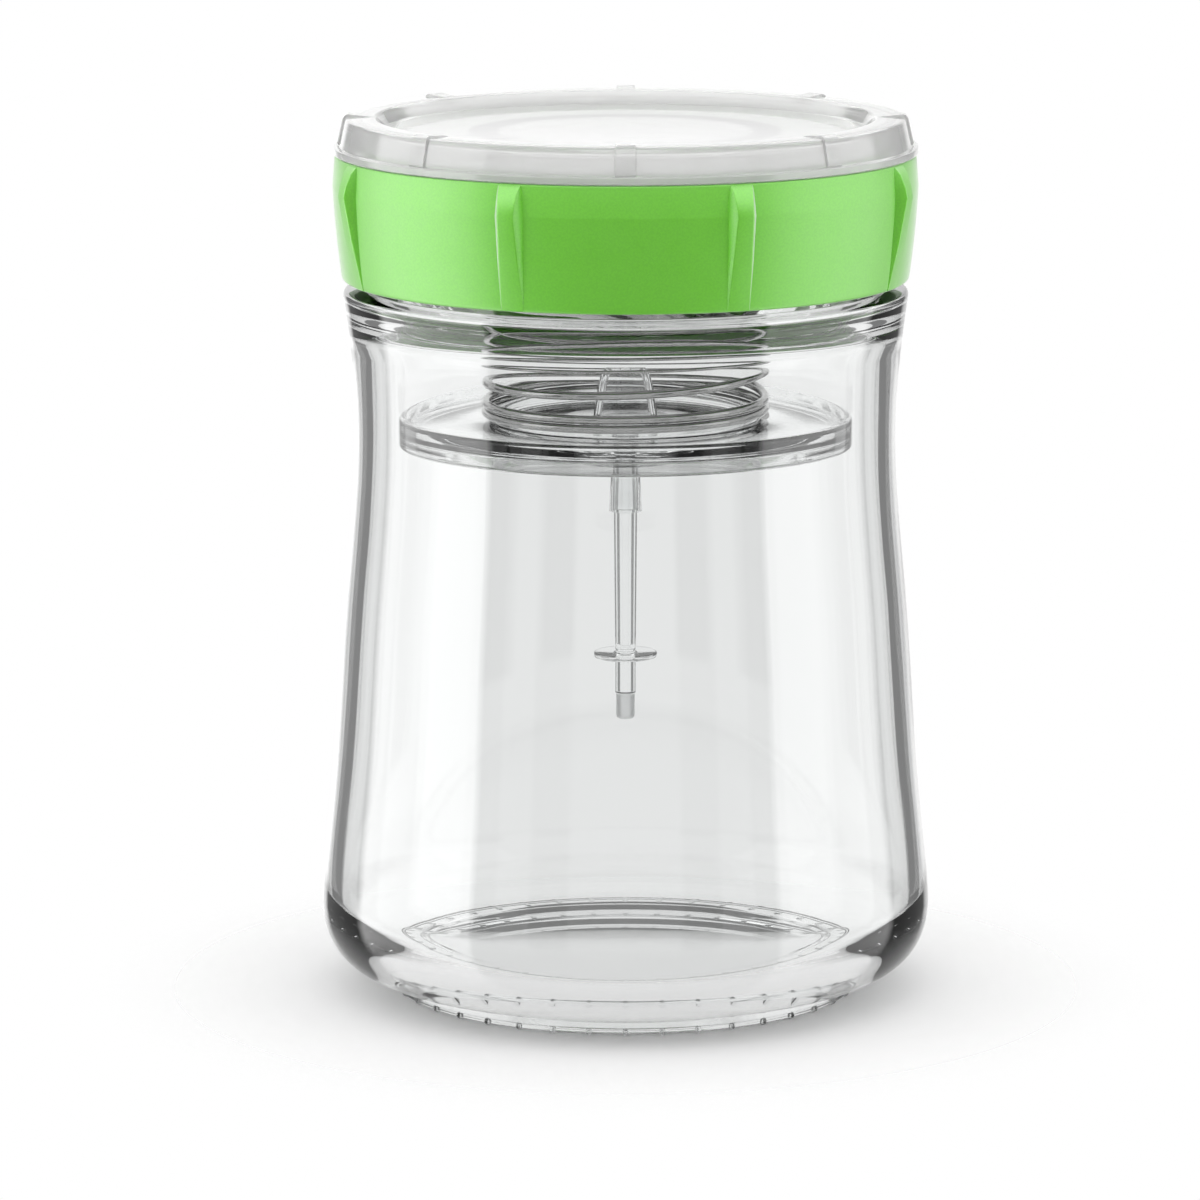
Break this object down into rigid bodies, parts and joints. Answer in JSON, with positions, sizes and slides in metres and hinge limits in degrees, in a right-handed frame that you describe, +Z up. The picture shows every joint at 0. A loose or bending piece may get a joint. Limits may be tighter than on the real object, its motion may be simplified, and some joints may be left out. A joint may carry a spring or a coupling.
{
  "type": "fermentation jar",
  "caption": "Waisted glass jar closed by a ribbed screw ring and a clear screw cap, with a sprung press plate and stem hanging inside.",
  "frame": {"origin": "centre of the foot, on the surface the jar stands on", "axes": "+Z up, along the axis of the jar; -Y is the side that the picture shows"},
  "size_m": [0.11, 0.11, 0.1584],
  "materials": {
    "clear_glass": "clear",
    "clear_plastic": "clear",
    "frosted_plastic": "frosted",
    "green_plastic": "satin",
    "seal_silicone": "matt",
    "spring_steel": "polished"
  },
  "bodies": {
    "jar": {"glass_jar": "clear_glass"},
    "lid_carrier": {"jar_seal": "seal_silicone"},
    "ring_carrier": {"cap_seal": "seal_silicone"},
    "ring": {"lid_ring": "green_plastic"},
    "spring_seat": {"spring_collar": "clear_plastic", "press_spring": "spring_steel"},
    "cap": {"clear_cap": "clear_plastic"},
    "press": {"press_plate": "clear_plastic", "vent_tower": "clear_plastic", "gas_stem": "clear_plastic", "stem_bell": "clear_plastic", "stem_tip": "frosted_plastic"}
  },
  "joints": [
    {"name": "lid_off", "type": "slide", "parent": "jar", "child": "lid_carrier", "axis": [0, 0, 1], "range_m": [0, 0.11]},
    {"name": "lid_rise", "type": "slide", "parent": "lid_carrier", "child": "ring_carrier", "axis": [0, 0, 1], "range_m": [0, 0.0076]},
    {"name": "lid_turn", "type": "hinge", "parent": "ring_carrier", "child": "ring", "pos_m": [0, 0, 0.14], "axis": [0, 0, 1], "range_deg": [0, 450]},
    {"name": "cap_rise", "type": "slide", "parent": "ring", "child": "spring_seat", "axis": [0, 0, 1], "range_m": [0, 0.0041]},
    {"name": "cap_turn", "type": "hinge", "parent": "spring_seat", "child": "cap", "pos_m": [0, 0, 0.155], "axis": [0, 0, 1], "range_deg": [0, 360]},
    {"name": "press_travel", "type": "slide", "parent": "spring_seat", "child": "press", "axis": [0, 0, 1], "range_m": [-0.012, 0.022], "stiffness_N_per_m": 300, "springref_m": 0.0005, "deforming": ["press_spring"]}
  ],
  "couplings": [
    {"joint": "lid_rise", "follows": "lid_turn", "m_per_rad": 0.00095493},
    {"joint": "cap_rise", "follows": "cap_turn", "m_per_rad": 0.00063662}
  ]
}
